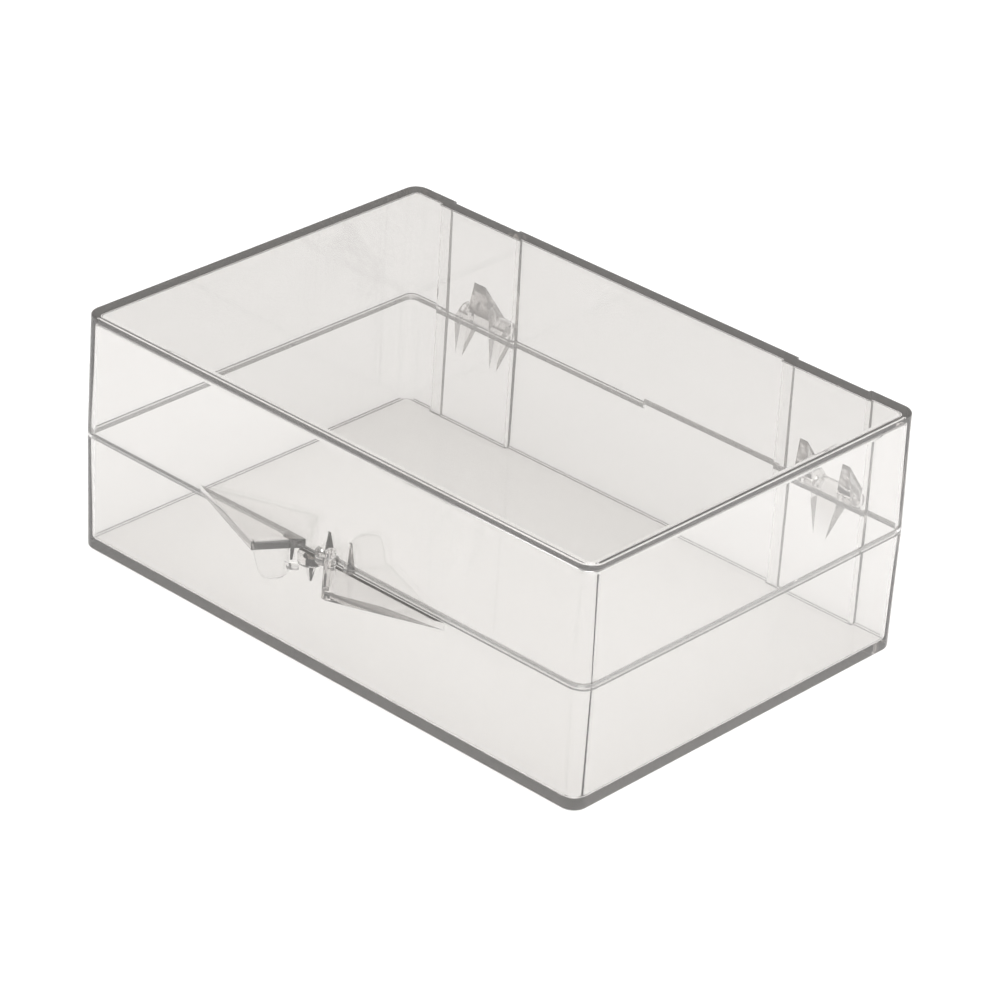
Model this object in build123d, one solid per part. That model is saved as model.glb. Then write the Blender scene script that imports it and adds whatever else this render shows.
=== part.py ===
from build123d import *
import os

# Clear hinged storage box, closed, in millimetres.
# X runs left to right across the front, Y from the front to the back, Z up.
# The origin is the middle of the underside. The box is two copies of one moulding:
# the base, and the lid, which is the same moulding turned half a turn about
# the front-to-back line through the middle of the seam.

# The moulding's outer shape, at the seam where it is widest
box_width = 113.0
box_depth = 78.2
shell_height = 21.7
draft_angle = 0.85
corner_radius = 3.0
least_corner_radius = 0.8
wall = 1.6
floor_thickness = 1.6
outer_edge_radius = 1.5
inner_edge_radius = 0.6

# The stepped rim: half of it stands up as a lip, the other half is cut away for the lid's lip
lip_height = 0.8
lip_thickness = 0.75
lip_gap = 0.05
lip_end_gap = 0.3

# The two pockets in the back wall where the hinges sit
hinge_offset = 38.75
pocket_width = 15.5
pocket_depth = 0.8
pocket_draft_angle = 0.2

# The hinges: a fork of two lugs on the left of the base, a knuckle with two pins on the right
axis_out = 1.8
barrel_radius = 1.7
pin_radius = 0.9
pin_gap = 0.04
pin_end_gap = 0.3
pin_chamfer = 0.25
knuckle_width = 5.1
knuckle_tip_width = 2.6
knuckle_drop = 7.8
fork_width = 2.8
fork_tip_width = 1.6
fork_drop = 7.2
fork_gap = 0.15
lug_step = 0.1
root = 0.8

# The thumb catch: a flare on the right of the base ends in an upright paddle,
# which runs from the flare's outer end back towards the wall
flare_start = 27.5
flare_end = 8.3
flare_out = 7.1
flare_edge_start = 1.3
flare_edge_end = 1.6
flare_root_height = 2.8
seam_gap = 0.15
paddle_end = 4.7
paddle_end_out = 2.0
paddle_thickness = 1.2
paddle_below = 1.9
paddle_above = 5.1
paddle_taper = 1.5
paddle_tip_radius = 2.0
paddle_root_radius = 0.5
paddle_edge_radius = 0.35

# The catch: a nub on the paddle snaps over a lug on the other shell's front wall
catch_offset = 1.9
lug_radius = 2.2
lug_ledge = 1.55
rib_radius = 1.3
rib_tip_radius = 0.25
rib_height = 5.2
guide_offset = 6.7
guide_radius = 1.15
nub_radius = 0.8
nub_inset = 1.0
nub_bite = 0.35
nub_ledge_gap = 0.15
nub_round = 0.3

overrun = 1.0

front_y = -box_depth / 2
back_y = box_depth / 2
axis_y = back_y + axis_out

# The paddle's upright plane, with its origin at the flare's outer end
paddle_run = Vector(paddle_end - flare_end, flare_out - paddle_end_out)
paddle_way = paddle_run.normalized()
paddle_plane = Plane(
    origin=(flare_end, front_y - flare_out, shell_height),
    x_dir=paddle_way, z_dir=(paddle_way.Y, -paddle_way.X, 0))


def rim_outline(inset):
    """Rounded rectangle of the moulding at the seam, drawn in by an inset."""
    radius = max(corner_radius - inset, least_corner_radius)
    return Pos(0, 0, shell_height) * RectangleRounded(
        box_width - 2 * inset, box_depth - 2 * inset, radius)


def drafted_block(inset, bottom, edge_radius, draft):
    """Block that tapers down from the seam to a rounded bottom edge."""
    block = extrude(rim_outline(inset), shell_height - bottom, dir=(0, 0, -1), taper=draft)
    return fillet(block.faces().sort_by(Axis.Z)[0].edges(), edge_radius)


def pocketed_block(inset, bottom, edge_radius):
    """Drafted block with both hinge pockets, which keep the same wall all round."""
    block = drafted_block(inset, bottom, edge_radius, draft_angle)
    core = drafted_block(inset + pocket_depth, bottom, edge_radius, pocket_draft_angle)
    reach = pocket_depth + inset + corner_radius
    slab = Box(pocket_width + 2 * inset, 2 * reach, 2 * shell_height + 2 * overrun)
    for side in (-1, 1):
        block -= Pos(side * hinge_offset, back_y, shell_height) * slab - core
    return block


def pocketed_outline(inset):
    """The moulding's outline at the seam with both hinge pockets."""
    outline = rim_outline(inset)
    depth = pocket_depth + 2 * inset + overrun
    for side in (-1, 1):
        notch = Rectangle(pocket_width + 2 * inset, depth, align=(Align.CENTER, Align.MIN))
        notch_y = back_y - inset - pocket_depth
        outline -= Pos(side * hinge_offset, notch_y, shell_height) * notch
    return outline


def rim_band(outer_inset, low, high, left, right):
    """Inner band of the rim between two heights and two places across the box."""
    ring = pocketed_outline(outer_inset) - pocketed_outline(wall)
    band = Pos(0, 0, low) * extrude(ring, high - low)
    keep = Pos((left + right) / 2, 0, shell_height + (low + high) / 2) * Box(
        right - left, 2 * box_depth, 2 * (high - low))
    return band & keep


def rim_lip():
    """Lip that stands on the right half of the rim."""
    return rim_band(wall - lip_thickness, 0, lip_height, lip_end_gap, box_width)


def rim_rebate():
    """Cut in the left half of the rim that takes the other shell's lip."""
    return rim_band(wall - lip_thickness - lip_gap, -lip_height - lip_gap, 0, -box_width, 0)


def hinge_lug(width, tip_width, drop, centre_x):
    """Barrel on the hinge axis with a gusset that tapers down the pocket wall."""
    face_y = back_y - pocket_depth
    top = shell_height - lug_step
    barrel = Pos(axis_y, shell_height) * Circle(barrel_radius)
    heel = Line((face_y, top), (face_y, shell_height - drop))
    foot = Pos(face_y, top) * Rectangle(root, drop - lug_step, align=(Align.MAX, Align.MAX))
    side = Plane.YZ * (make_hull(barrel.edges() + heel.edges()) + foot)
    solid = Pos(-width / 2, 0, 0) * extrude(side, width)
    shoulder = shell_height - barrel_radius
    front = Polygon(
        (-width / 2, shell_height + 2 * barrel_radius), (-width / 2, shoulder),
        (-tip_width / 2, shell_height - drop), (tip_width / 2, shell_height - drop),
        (width / 2, shoulder), (width / 2, shell_height + 2 * barrel_radius), align=None)
    taper = extrude(Plane.XZ * front, box_depth, both=True)
    return Pos(centre_x, 0, 0) * (solid & taper)


def axis_rod(radius, length):
    """Round rod along the hinge axis, centred across the box."""
    return Pos(0, axis_y, shell_height) * Rot(0, 90, 0) * Cylinder(radius, length)


def hinge_fork():
    """Two lugs on the left with a bore for the other shell's pins."""
    spread = knuckle_width / 2 + fork_gap + fork_width / 2
    lugs = [hinge_lug(fork_width, fork_tip_width, fork_drop, side * spread - hinge_offset)
            for side in (-1, 1)]
    bore = Pos(-hinge_offset, 0, 0) * axis_rod(pin_radius + pin_gap, pocket_width)
    return lugs[0] + lugs[1] - bore


def hinge_knuckle():
    """Knuckle on the right with a pin at each end."""
    reach = knuckle_width / 2 + fork_gap + fork_width - pin_end_gap
    pins = axis_rod(pin_radius, 2 * reach)
    ends = pins.edges().filter_by(GeomType.CIRCLE)
    pins = chamfer(ends, pin_chamfer)
    knuckle = hinge_lug(knuckle_width, knuckle_tip_width, knuckle_drop, 0)
    return Pos(hinge_offset, 0, 0) * (knuckle + pins)


def flare_section(reach, edge):
    """Cross-section of the thumb flare, flat on top and sloping in underneath."""
    return Polygon(
        (reach, -seam_gap), (0, -seam_gap), (0, -seam_gap - edge),
        (reach, -seam_gap - flare_root_height), align=None)


def thumb_flare():
    """Flare that leaves the front wall and grows out to the paddle."""
    start = Plane.YZ.offset(flare_start) * Pos(front_y, shell_height) * flare_section(
        root, flare_edge_start)
    reach = (flare_out + root) / paddle_way.Y
    end = paddle_plane * flare_section(reach, flare_edge_end)
    return loft([end, start], ruled=True)


def thumb_paddle():
    """Upright rounded plate at the end of the flare, crossing the seam."""
    length = paddle_run.length
    face = Polygon(
        (0, -paddle_below), (length, -paddle_below), (length, paddle_above),
        (paddle_taper, paddle_above), align=None)
    corners = face.vertices().sort_by(Axis.Y)
    face = fillet(corners[:2], paddle_root_radius)
    face = fillet(face.vertices().sort_by(Axis.Y)[-2:], paddle_tip_radius)
    plate = extrude(face, paddle_thickness / 2, both=True)
    outer_edges = plate.faces().sort_by(Axis.Z)[0].edges()
    return paddle_plane * fillet(outer_edges, paddle_edge_radius)


def catch_nub():
    """Round nub on the paddle, above the ledge that it holds."""
    height = seam_gap + lug_ledge + nub_ledge_gap + nub_radius
    seat = paddle_plane.from_local_coords((paddle_run.length - nub_inset, height, 0))
    lug_axis = Vector(catch_offset, front_y, shell_height + height)
    way = lug_axis - seat
    length = way.length - lug_radius + nub_bite
    nub = Cylinder(nub_radius, length, align=(Align.CENTER, Align.CENTER, Align.MIN))
    nub = fillet(nub.edges().filter_by(GeomType.CIRCLE).sort_by(Axis.Z)[-1], nub_round)
    return Plane(origin=seat, z_dir=way) * nub


def wall_rib(place_x, radius, top):
    """Half-cone rib that tapers down the front wall."""
    height = rib_height - (shell_height - top)
    cone = Cone(rib_tip_radius, radius, height, align=(Align.CENTER, Align.CENTER, Align.MAX))
    rib = Pos(place_x, front_y, top) * cone
    outside = Box(box_width, 2 * rib_height, box_depth, align=(Align.CENTER, Align.MAX, Align.CENTER))
    return rib & Pos(0, front_y + root, shell_height) * outside


def catch_lug():
    """Round ledge and rib on the left of the front wall, held by the lid's nub."""
    top = shell_height - seam_gap
    disc = Cylinder(lug_radius, lug_ledge, align=(Align.CENTER, Align.CENTER, Align.MAX))
    disc = Pos(-catch_offset, front_y, top) * disc
    outside = Box(box_width, 2 * rib_height, box_depth, align=(Align.CENTER, Align.MAX, Align.CENTER))
    disc = disc & Pos(0, front_y + root, shell_height) * outside
    rib = wall_rib(-catch_offset, rib_radius, top - lug_ledge)
    guide = wall_rib(-guide_offset, guide_radius, top)
    return disc + rib + guide


def shell():
    """One moulding: the base, standing on its floor."""
    body = pocketed_block(0, 0, outer_edge_radius)
    body -= pocketed_block(wall, floor_thickness, inner_edge_radius)
    body += rim_lip()
    body -= rim_rebate()
    body += hinge_fork()
    body += hinge_knuckle()
    body += thumb_flare()
    body += thumb_paddle()
    body += catch_nub()
    body += catch_lug()
    return body


def as_lid(moulding):
    """The same moulding turned half a turn about the front-to-back line at the seam."""
    return Pos(0, 0, 2 * shell_height) * Rot(0, 180, 0) * moulding


base = shell()
pieces = {"box_base": base, "box_lid": as_lid(base)}

os.makedirs("parts", exist_ok=True)
for name, piece in pieces.items():
    export_step(piece, os.path.join("parts", name + ".step"))
    print(name, len(piece.solids()), round(piece.volume, 1))
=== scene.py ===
import math

import bmesh
import bpy
from mathutils import Matrix, Vector


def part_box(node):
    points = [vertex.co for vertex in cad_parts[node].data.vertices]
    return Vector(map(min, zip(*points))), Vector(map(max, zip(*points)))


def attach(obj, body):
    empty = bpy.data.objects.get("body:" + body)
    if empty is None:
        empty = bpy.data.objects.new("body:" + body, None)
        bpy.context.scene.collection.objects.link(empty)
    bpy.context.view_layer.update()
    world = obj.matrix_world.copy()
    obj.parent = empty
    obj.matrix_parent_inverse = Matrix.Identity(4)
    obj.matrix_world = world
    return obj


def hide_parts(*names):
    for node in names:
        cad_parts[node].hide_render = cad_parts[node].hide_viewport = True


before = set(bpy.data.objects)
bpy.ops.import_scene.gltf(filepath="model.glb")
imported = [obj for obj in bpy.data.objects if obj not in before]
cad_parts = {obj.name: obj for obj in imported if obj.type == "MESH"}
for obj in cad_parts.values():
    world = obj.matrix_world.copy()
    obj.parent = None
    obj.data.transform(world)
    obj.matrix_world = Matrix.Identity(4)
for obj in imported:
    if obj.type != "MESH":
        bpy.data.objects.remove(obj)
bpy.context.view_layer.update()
print("frame loaded:", sorted(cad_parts))

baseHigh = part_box("box_base")[1]
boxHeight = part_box("box_lid")[1].z
seamHeight = boxHeight / 2
boxMiddle = Vector((0, 0, seamHeight))


def addNode(tree, kind, label, **values):
    node = tree.nodes.new(kind)
    node.label = label
    for name, value in values.items():
        setattr(node, name, value)
    return node


def newMaterial(name):
    material = bpy.data.materials.new(name)
    material.use_nodes = True
    material.node_tree.nodes.clear()
    return material, material.node_tree


def newObject(name, data):
    made = bpy.data.objects.new(name, data)
    bpy.context.scene.collection.objects.link(made)
    return made


# Clear styrene: both mouldings of the box
styrene = {
    "tint": (0.955, 0.954, 0.951, 1),
    "tintFaint": (0.935, 0.934, 0.931, 1),
    "tintScale": 26.0,
    "ior": 1.59,
    "clear": 0.94,
    "roughLow": 0.0,
    "roughHigh": 0.035,
    "scuffLow": 0.62,
    "scuffHigh": 0.8,
    "scuffScale": 900.0,
    "shadowTint": (0.975, 0.975, 0.97, 1),
    "depthTint": (0.62, 0.59, 0.567, 1),       # colour that long paths through the plastic take on
    "depthDensity": 150.0,
}


def clearStyrene():
    material, tree = newMaterial("clearStyrene")
    links = tree.links
    place = addNode(tree, "ShaderNodeTexCoord", "place on the moulding")
    cloud = addNode(tree, "ShaderNodeTexNoise", "slow change of tint")
    cloud.inputs["Scale"].default_value = styrene["tintScale"]
    tint = addNode(tree, "ShaderNodeMix", "tint", data_type="RGBA")
    tint.inputs[6].default_value = styrene["tint"]
    tint.inputs[7].default_value = styrene["tintFaint"]
    scuff = addNode(tree, "ShaderNodeTexNoise", "fine scuffs")
    scuff.inputs["Scale"].default_value = styrene["scuffScale"]
    rough = addNode(tree, "ShaderNodeMapRange", "roughness of the scuffs")
    rough.inputs["From Min"].default_value = styrene["scuffLow"]
    rough.inputs["From Max"].default_value = styrene["scuffHigh"]
    rough.inputs["To Min"].default_value = styrene["roughLow"]
    rough.inputs["To Max"].default_value = styrene["roughHigh"]
    plastic = addNode(tree, "ShaderNodeBsdfPrincipled", "clear plastic")
    plastic.inputs["IOR"].default_value = styrene["ior"]
    plastic.inputs["Transmission Weight"].default_value = styrene["clear"]
    shade = addNode(tree, "ShaderNodeBsdfTransparent", "light that passes to what is behind")
    shade.inputs["Color"].default_value = styrene["shadowTint"]
    path = addNode(tree, "ShaderNodeLightPath", "ray")
    mix = addNode(tree, "ShaderNodeMixShader", "clear to lamps")
    depth = addNode(tree, "ShaderNodeVolumeAbsorption", "tint seen through thick plastic")
    depth.inputs["Color"].default_value = styrene["depthTint"]
    depth.inputs["Density"].default_value = styrene["depthDensity"]
    out = addNode(tree, "ShaderNodeOutputMaterial", "out")
    links.new(depth.outputs[0], out.inputs["Volume"])
    links.new(place.outputs["Object"], cloud.inputs["Vector"])
    links.new(place.outputs["Object"], scuff.inputs["Vector"])
    links.new(cloud.outputs["Fac"], tint.inputs[0])
    links.new(tint.outputs[2], plastic.inputs["Base Color"])
    links.new(scuff.outputs["Fac"], rough.inputs["Value"])
    links.new(rough.outputs["Result"], plastic.inputs["Roughness"])
    links.new(path.outputs["Is Shadow Ray"], mix.inputs[0])
    links.new(plastic.outputs[0], mix.inputs[1])
    links.new(shade.outputs[0], mix.inputs[2])
    links.new(mix.outputs[0], out.inputs["Surface"])
    return material


# Crisp outer edges for both mouldings: the CAD's wider round along the floor is drawn in.
# All places here and below are those of the base; the lid is the base turned over.
edgeSpec = {
    "cadRadius": 0.0015, "radius": 0.00042,                                 # metres
    "halfDepth": 0.0391, "corner": 0.003,
    "pocketLow": 0.031, "pocketHigh": 0.0465, "pocketInset": 0.0008,
    "draft": math.radians(0.85), "pocketDraft": math.radians(0.2),
    "arcStart": 1.0, "bendStart": 25.0, "bendEnd": 65.0, "arcEnd": 89.0,    # degrees round the arc
    "fit": 0.00003,              # how far off the CAD's arc a point on it may lie
    "slack": 0.00001,
    "merge": 0.000001,
    "sameFace": 0.97,            # least cosine between a corner's normal and the arc's own
}

# The thumb flares as even plates: their sloping undersides are brought level
flareSpec = {
    "low": 0.0025, "high": 0.0276, "start": 0.0275, "end": 0.0083,          # metres
    "gap": 0.00015, "edgeStart": 0.0013, "edgeEnd": 0.0016, "band": 0.0032,
    "onWall": 0.00005, "slack": 0.00001,
    "paddleFoot": 0.01978, "paddleHalf": 0.00062,
    "paddleEnd": (0.0083, -0.0462), "paddleWay": (-0.5767, 0.8170),
    "facesDown": 0.4,            # least cosine between a corner's normal and straight down
}


def turnOver(vector, height):
    return Vector((-vector.x, vector.y, height - vector.z))


def levelFlare(point):
    # the new place of a point on the flare's underside, or None for any other point
    spec = flareSpec
    slope = math.tan(edgeSpec["draft"])
    wallY = -edgeSpec["halfDepth"] + slope * (seamHeight - point.z)
    if not spec["low"] < point.x < spec["high"] or point.y > wallY + spec["onWall"]:
        return None
    share = (spec["start"] - point.x) / (spec["start"] - spec["end"])
    growth = (spec["edgeEnd"] - spec["edgeStart"]) * min(max(share, 0), 1)
    level = seamHeight - spec["gap"] - spec["edgeStart"] - growth
    if not seamHeight - spec["band"] < point.z < level - spec["slack"]:
        return None
    offX = point.x - spec["paddleEnd"][0]
    offY = point.y - spec["paddleEnd"][1]
    wayX, wayY = spec["paddleWay"]
    inPaddle = abs(offX * wayY - offY * wayX) < spec["paddleHalf"]
    if inPaddle and point.z > spec["paddleFoot"]:
        return None
    moved = Vector((point.x, point.y, level))
    if point.y > wallY - spec["onWall"]:
        moved.y -= slope * (level - point.z)
    return moved


def onArc(point, inset, draft):
    # how far a point lies off the CAD's arc, its angle there, the way out of the wall,
    # its distance inward and the wall's slope
    slope = math.tan(draft)
    shrink = inset + slope * seamHeight
    radius = max(edgeSpec["corner"] - shrink, 0)
    pastX = abs(point.x) - (baseHigh.x - shrink - radius)
    pastY = abs(point.y) - (edgeSpec["halfDepth"] - shrink - radius)
    if pastX > 0 and pastY > 0:
        reach = math.hypot(pastX, pastY)
        outward = Vector((pastX / reach, pastY / reach, 0))
    else:
        reach = max(pastX, pastY)
        outward = Vector((1, 0, 0)) if pastX > pastY else Vector((0, 1, 0))
    outward.x = math.copysign(outward.x, point.x)
    outward.y = math.copysign(outward.y, point.y)
    inward = radius - reach
    big = edgeSpec["cadRadius"]
    error = abs(math.hypot(big - inward, big - point.z) - big)
    angle = math.degrees(math.atan2(big - point.z, big - inward))
    return error, angle, outward, inward, slope


def drawnIn(angle):
    # the same share of the way round the crisp edge: distance inward, height, and slope there
    big, small = edgeSpec["cadRadius"], edgeSpec["radius"]
    first, last = edgeSpec["bendStart"], edgeSpec["bendEnd"]
    if angle <= first:
        share = max(angle - edgeSpec["arcStart"], 0) / (first - edgeSpec["arcStart"])
        return 0, big - share * (big - small), 0
    if angle >= last:
        share = min((angle - last) / (edgeSpec["arcEnd"] - last), 1)
        return small + share * (big - small), 0, math.pi / 2
    turn = (angle - first) / (last - first) * math.pi / 2
    return small * (1 - math.cos(turn)), small * (1 - math.sin(turn)), turn


def slantDown(outward, turn):
    return outward * math.cos(turn) - Vector((0, 0, math.sin(turn)))


def crispPoint(point):
    # the new place of a point on the CAD's outer round, with its old and new normal
    slack = edgeSpec["slack"]
    if point.z > edgeSpec["cadRadius"] + edgeSpec["fit"]:
        return None
    fits = [onArc(point, 0, edgeSpec["draft"])]
    inPocket = edgeSpec["pocketLow"] - slack < abs(point.x) < edgeSpec["pocketHigh"] + slack
    if point.y > 0 and inPocket:
        fits.append(onArc(point, edgeSpec["pocketInset"], edgeSpec["pocketDraft"]))
    error, angle, outward, inward, slope = min(fits, key=lambda fit: fit[0])
    if error > edgeSpec["fit"] or not 0 < angle < 90:
        return None
    newInward, height, turn = drawnIn(angle)
    moved = point - outward * (newInward - slope * height - inward)
    moved.z = height
    before = slantDown(outward, math.radians(angle))
    after = slantDown(outward, max(turn, math.atan(slope)))
    return moved, before, after


def crispMoulding(name, source, upsideDown):
    work = bmesh.new()
    work.from_mesh(source.data)
    normalLayer = work.loops.layers.float_vector.new("cadNormal")
    cadNormals = iter(source.data.corner_normals)
    for face in work.faces:
        for loop in face.loops:
            loop[normalLayer] = next(cadNormals).vector
    bmesh.ops.remove_doubles(work, verts=work.verts[:], dist=edgeSpec["merge"])
    levelled = set()
    for vert in work.verts:
        point = turnOver(vert.co, boxHeight) if upsideDown else vert.co.copy()
        level = levelFlare(point)
        if level:
            vert.co = turnOver(level, boxHeight) if upsideDown else level
            levelled.update(vert.link_faces)
            continue
        crisp = crispPoint(point)
        if not crisp:
            continue
        moved, before, after = crisp
        if upsideDown:
            moved = turnOver(moved, boxHeight)
            before, after = turnOver(before, 0), turnOver(after, 0)
        vert.co = moved
        for loop in vert.link_loops:
            if loop[normalLayer].dot(before) > edgeSpec["sameFace"]:
                loop[normalLayer] = after
    downward = Vector((0, 0, 1 if upsideDown else -1))
    for face in levelled:
        face.normal_update()
        for loop in face.loops:
            if loop[normalLayer].dot(downward) > flareSpec["facesDown"]:
                loop[normalLayer] = face.normal
    mesh = bpy.data.meshes.new(name)
    work.to_mesh(mesh)
    work.free()
    shading = [tuple(item.vector) for item in mesh.attributes["cadNormal"].data]
    mesh.attributes.remove(mesh.attributes["cadNormal"])
    mesh.normals_split_custom_set(shading)
    mesh.materials.clear()
    mesh.materials.append(styreneMaterial)
    print(name, "made, with", len(levelled), "faces on and beside its levelled flare")
    return newObject(name, mesh)


styreneMaterial = clearStyrene()
styreneBase = crispMoulding("styreneBase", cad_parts["box_base"], False)
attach(styreneBase, "base")
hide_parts("box_base")
styreneLid = crispMoulding("styreneLid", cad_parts["box_lid"], True)
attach(styreneLid, "lid")
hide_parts("box_lid")
print("mouldings finished")


# The floor the box stands on, a hair below the box so that they don't touch
floorSpec = {
    "size": 6.0, "drop": 0.0002,     # metres
    "colour": (0.86, 0.86, 0.86, 1),
    "catch": (0.5, 0.5, 0.5, 1),
    "glow": 0.52,
}


def paleFloor():
    mesh = bpy.data.meshes.new("paleFloor")
    half = floorSpec["size"] / 2
    level = -floorSpec["drop"]
    sides = [(-half, -half), (half, -half), (half, half), (-half, half)]
    mesh.from_pydata([(x, y, level) for x, y in sides], [], [(0, 1, 2, 3)])
    floor = newObject("paleFloor", mesh)
    material, tree = newMaterial("paleFloor")
    links = tree.links
    matt = addNode(tree, "ShaderNodeBsdfDiffuse", "matt white")
    matt.inputs["Color"].default_value = floorSpec["catch"]
    plain = addNode(tree, "ShaderNodeBsdfDiffuse", "matt white, to diffuse light")
    plain.inputs["Color"].default_value = floorSpec["colour"]
    glow = addNode(tree, "ShaderNodeEmission", "white backdrop")
    glow.inputs["Strength"].default_value = floorSpec["glow"]
    both = addNode(tree, "ShaderNodeAddShader", "white that keeps the shadow")
    path = addNode(tree, "ShaderNodeLightPath", "ray")
    pick = addNode(tree, "ShaderNodeMixShader", "seen or lighting")
    out = addNode(tree, "ShaderNodeOutputMaterial", "out")
    links.new(matt.outputs[0], both.inputs[0])
    links.new(glow.outputs[0], both.inputs[1])
    links.new(path.outputs["Is Diffuse Ray"], pick.inputs[0])
    links.new(both.outputs[0], pick.inputs[1])
    links.new(plain.outputs[0], pick.inputs[2])
    links.new(pick.outputs[0], out.inputs["Surface"])
    mesh.materials.append(material)


paleFloor()
print("floor laid")


# Studio: an even pale room and two soft lamps
roomSpec = {
    "seen": (1, 1, 1, 1),
    "low": (0.85, 0.85, 0.85, 1),
    "high": (0.4, 0.385, 0.37, 1),
    "fadeStart": 0.0, "fadeEnd": 0.35,      # height of the direction, 1 straight up
}
lampSpecs = {
    "overhead": {"place": (0.0, 0.1, 1.3), "size": 1.8, "watts": 25.0},
    "side": {"place": (1.0, -0.5, 0.7), "size": 0.9, "watts": 4.0},
}


def studioRoom():
    world = bpy.data.worlds.new("studioRoom")
    world.use_nodes = True
    bpy.context.scene.world = world
    tree = world.node_tree
    tree.nodes.clear()
    links = tree.links
    place = addNode(tree, "ShaderNodeTexCoord", "direction")
    split = addNode(tree, "ShaderNodeSeparateXYZ", "height")
    ramp = addNode(tree, "ShaderNodeMapRange", "low to high")
    ramp.inputs["From Min"].default_value = roomSpec["fadeStart"]
    ramp.inputs["From Max"].default_value = roomSpec["fadeEnd"]
    grade = addNode(tree, "ShaderNodeMix", "room", data_type="RGBA")
    grade.inputs[6].default_value = roomSpec["low"]
    grade.inputs[7].default_value = roomSpec["high"]
    room = addNode(tree, "ShaderNodeBackground", "room")
    seen = addNode(tree, "ShaderNodeBackground", "seen by the camera")
    seen.inputs["Color"].default_value = roomSpec["seen"]
    path = addNode(tree, "ShaderNodeLightPath", "ray")
    pick = addNode(tree, "ShaderNodeMixShader", "seen or lighting")
    out = addNode(tree, "ShaderNodeOutputWorld", "out")
    links.new(place.outputs["Generated"], split.inputs[0])
    links.new(split.outputs["Z"], ramp.inputs["Value"])
    links.new(ramp.outputs["Result"], grade.inputs[0])
    links.new(grade.outputs[2], room.inputs["Color"])
    links.new(path.outputs["Is Camera Ray"], pick.inputs[0])
    links.new(room.outputs[0], pick.inputs[1])
    links.new(seen.outputs[0], pick.inputs[2])
    links.new(pick.outputs[0], out.inputs["Surface"])


def softLamp(name, spec):
    lamp = bpy.data.lights.new(name, "AREA")
    lamp.shape = "SQUARE"
    lamp.size = spec["size"]
    lamp.energy = spec["watts"]
    holder = newObject(name, lamp)
    holder.location = spec["place"]
    aim = boxMiddle - Vector(spec["place"])
    holder.rotation_euler = aim.to_track_quat("-Z", "Y").to_euler()


studioRoom()
for lampName, lampSpec in lampSpecs.items():
    softLamp(lampName, lampSpec)
print("studio lit")


# Camera, fitted to the box's edges in the photograph
cameraSpec = {
    "yaw": 41.96, "pitch": 28.40, "roll": 3.46,     # degrees
    "reach": 0.7486,                                # metres from the middle of the box
    "lens": 164.8, "sensor": 36.0,                  # millimetres
    "shiftX": 0.0097, "shiftY": -0.0212,
}


def photoCamera():
    yaw, pitch, roll = (math.radians(cameraSpec[name]) for name in ("yaw", "pitch", "roll"))
    flat = math.cos(pitch)
    ahead = Vector((-math.sin(yaw) * flat, math.cos(yaw) * flat, -math.sin(pitch)))
    level = Vector((math.cos(yaw), math.sin(yaw), 0))
    upward = level.cross(ahead)
    right = level * math.cos(roll) + upward * math.sin(roll)
    top = upward * math.cos(roll) - level * math.sin(roll)
    data = bpy.data.cameras.new("photoCamera")
    data.lens = cameraSpec["lens"]
    data.sensor_width = cameraSpec["sensor"]
    data.shift_x = cameraSpec["shiftX"]
    data.shift_y = cameraSpec["shiftY"]
    camera = newObject("photoCamera", data)
    turn = Matrix((right, top, -ahead)).transposed().to_4x4()
    camera.matrix_world = Matrix.Translation(boxMiddle - ahead * cameraSpec["reach"]) @ turn
    bpy.context.scene.camera = camera


photoCamera()
bpy.context.scene.view_settings.view_transform = "Standard"
print("camera set")
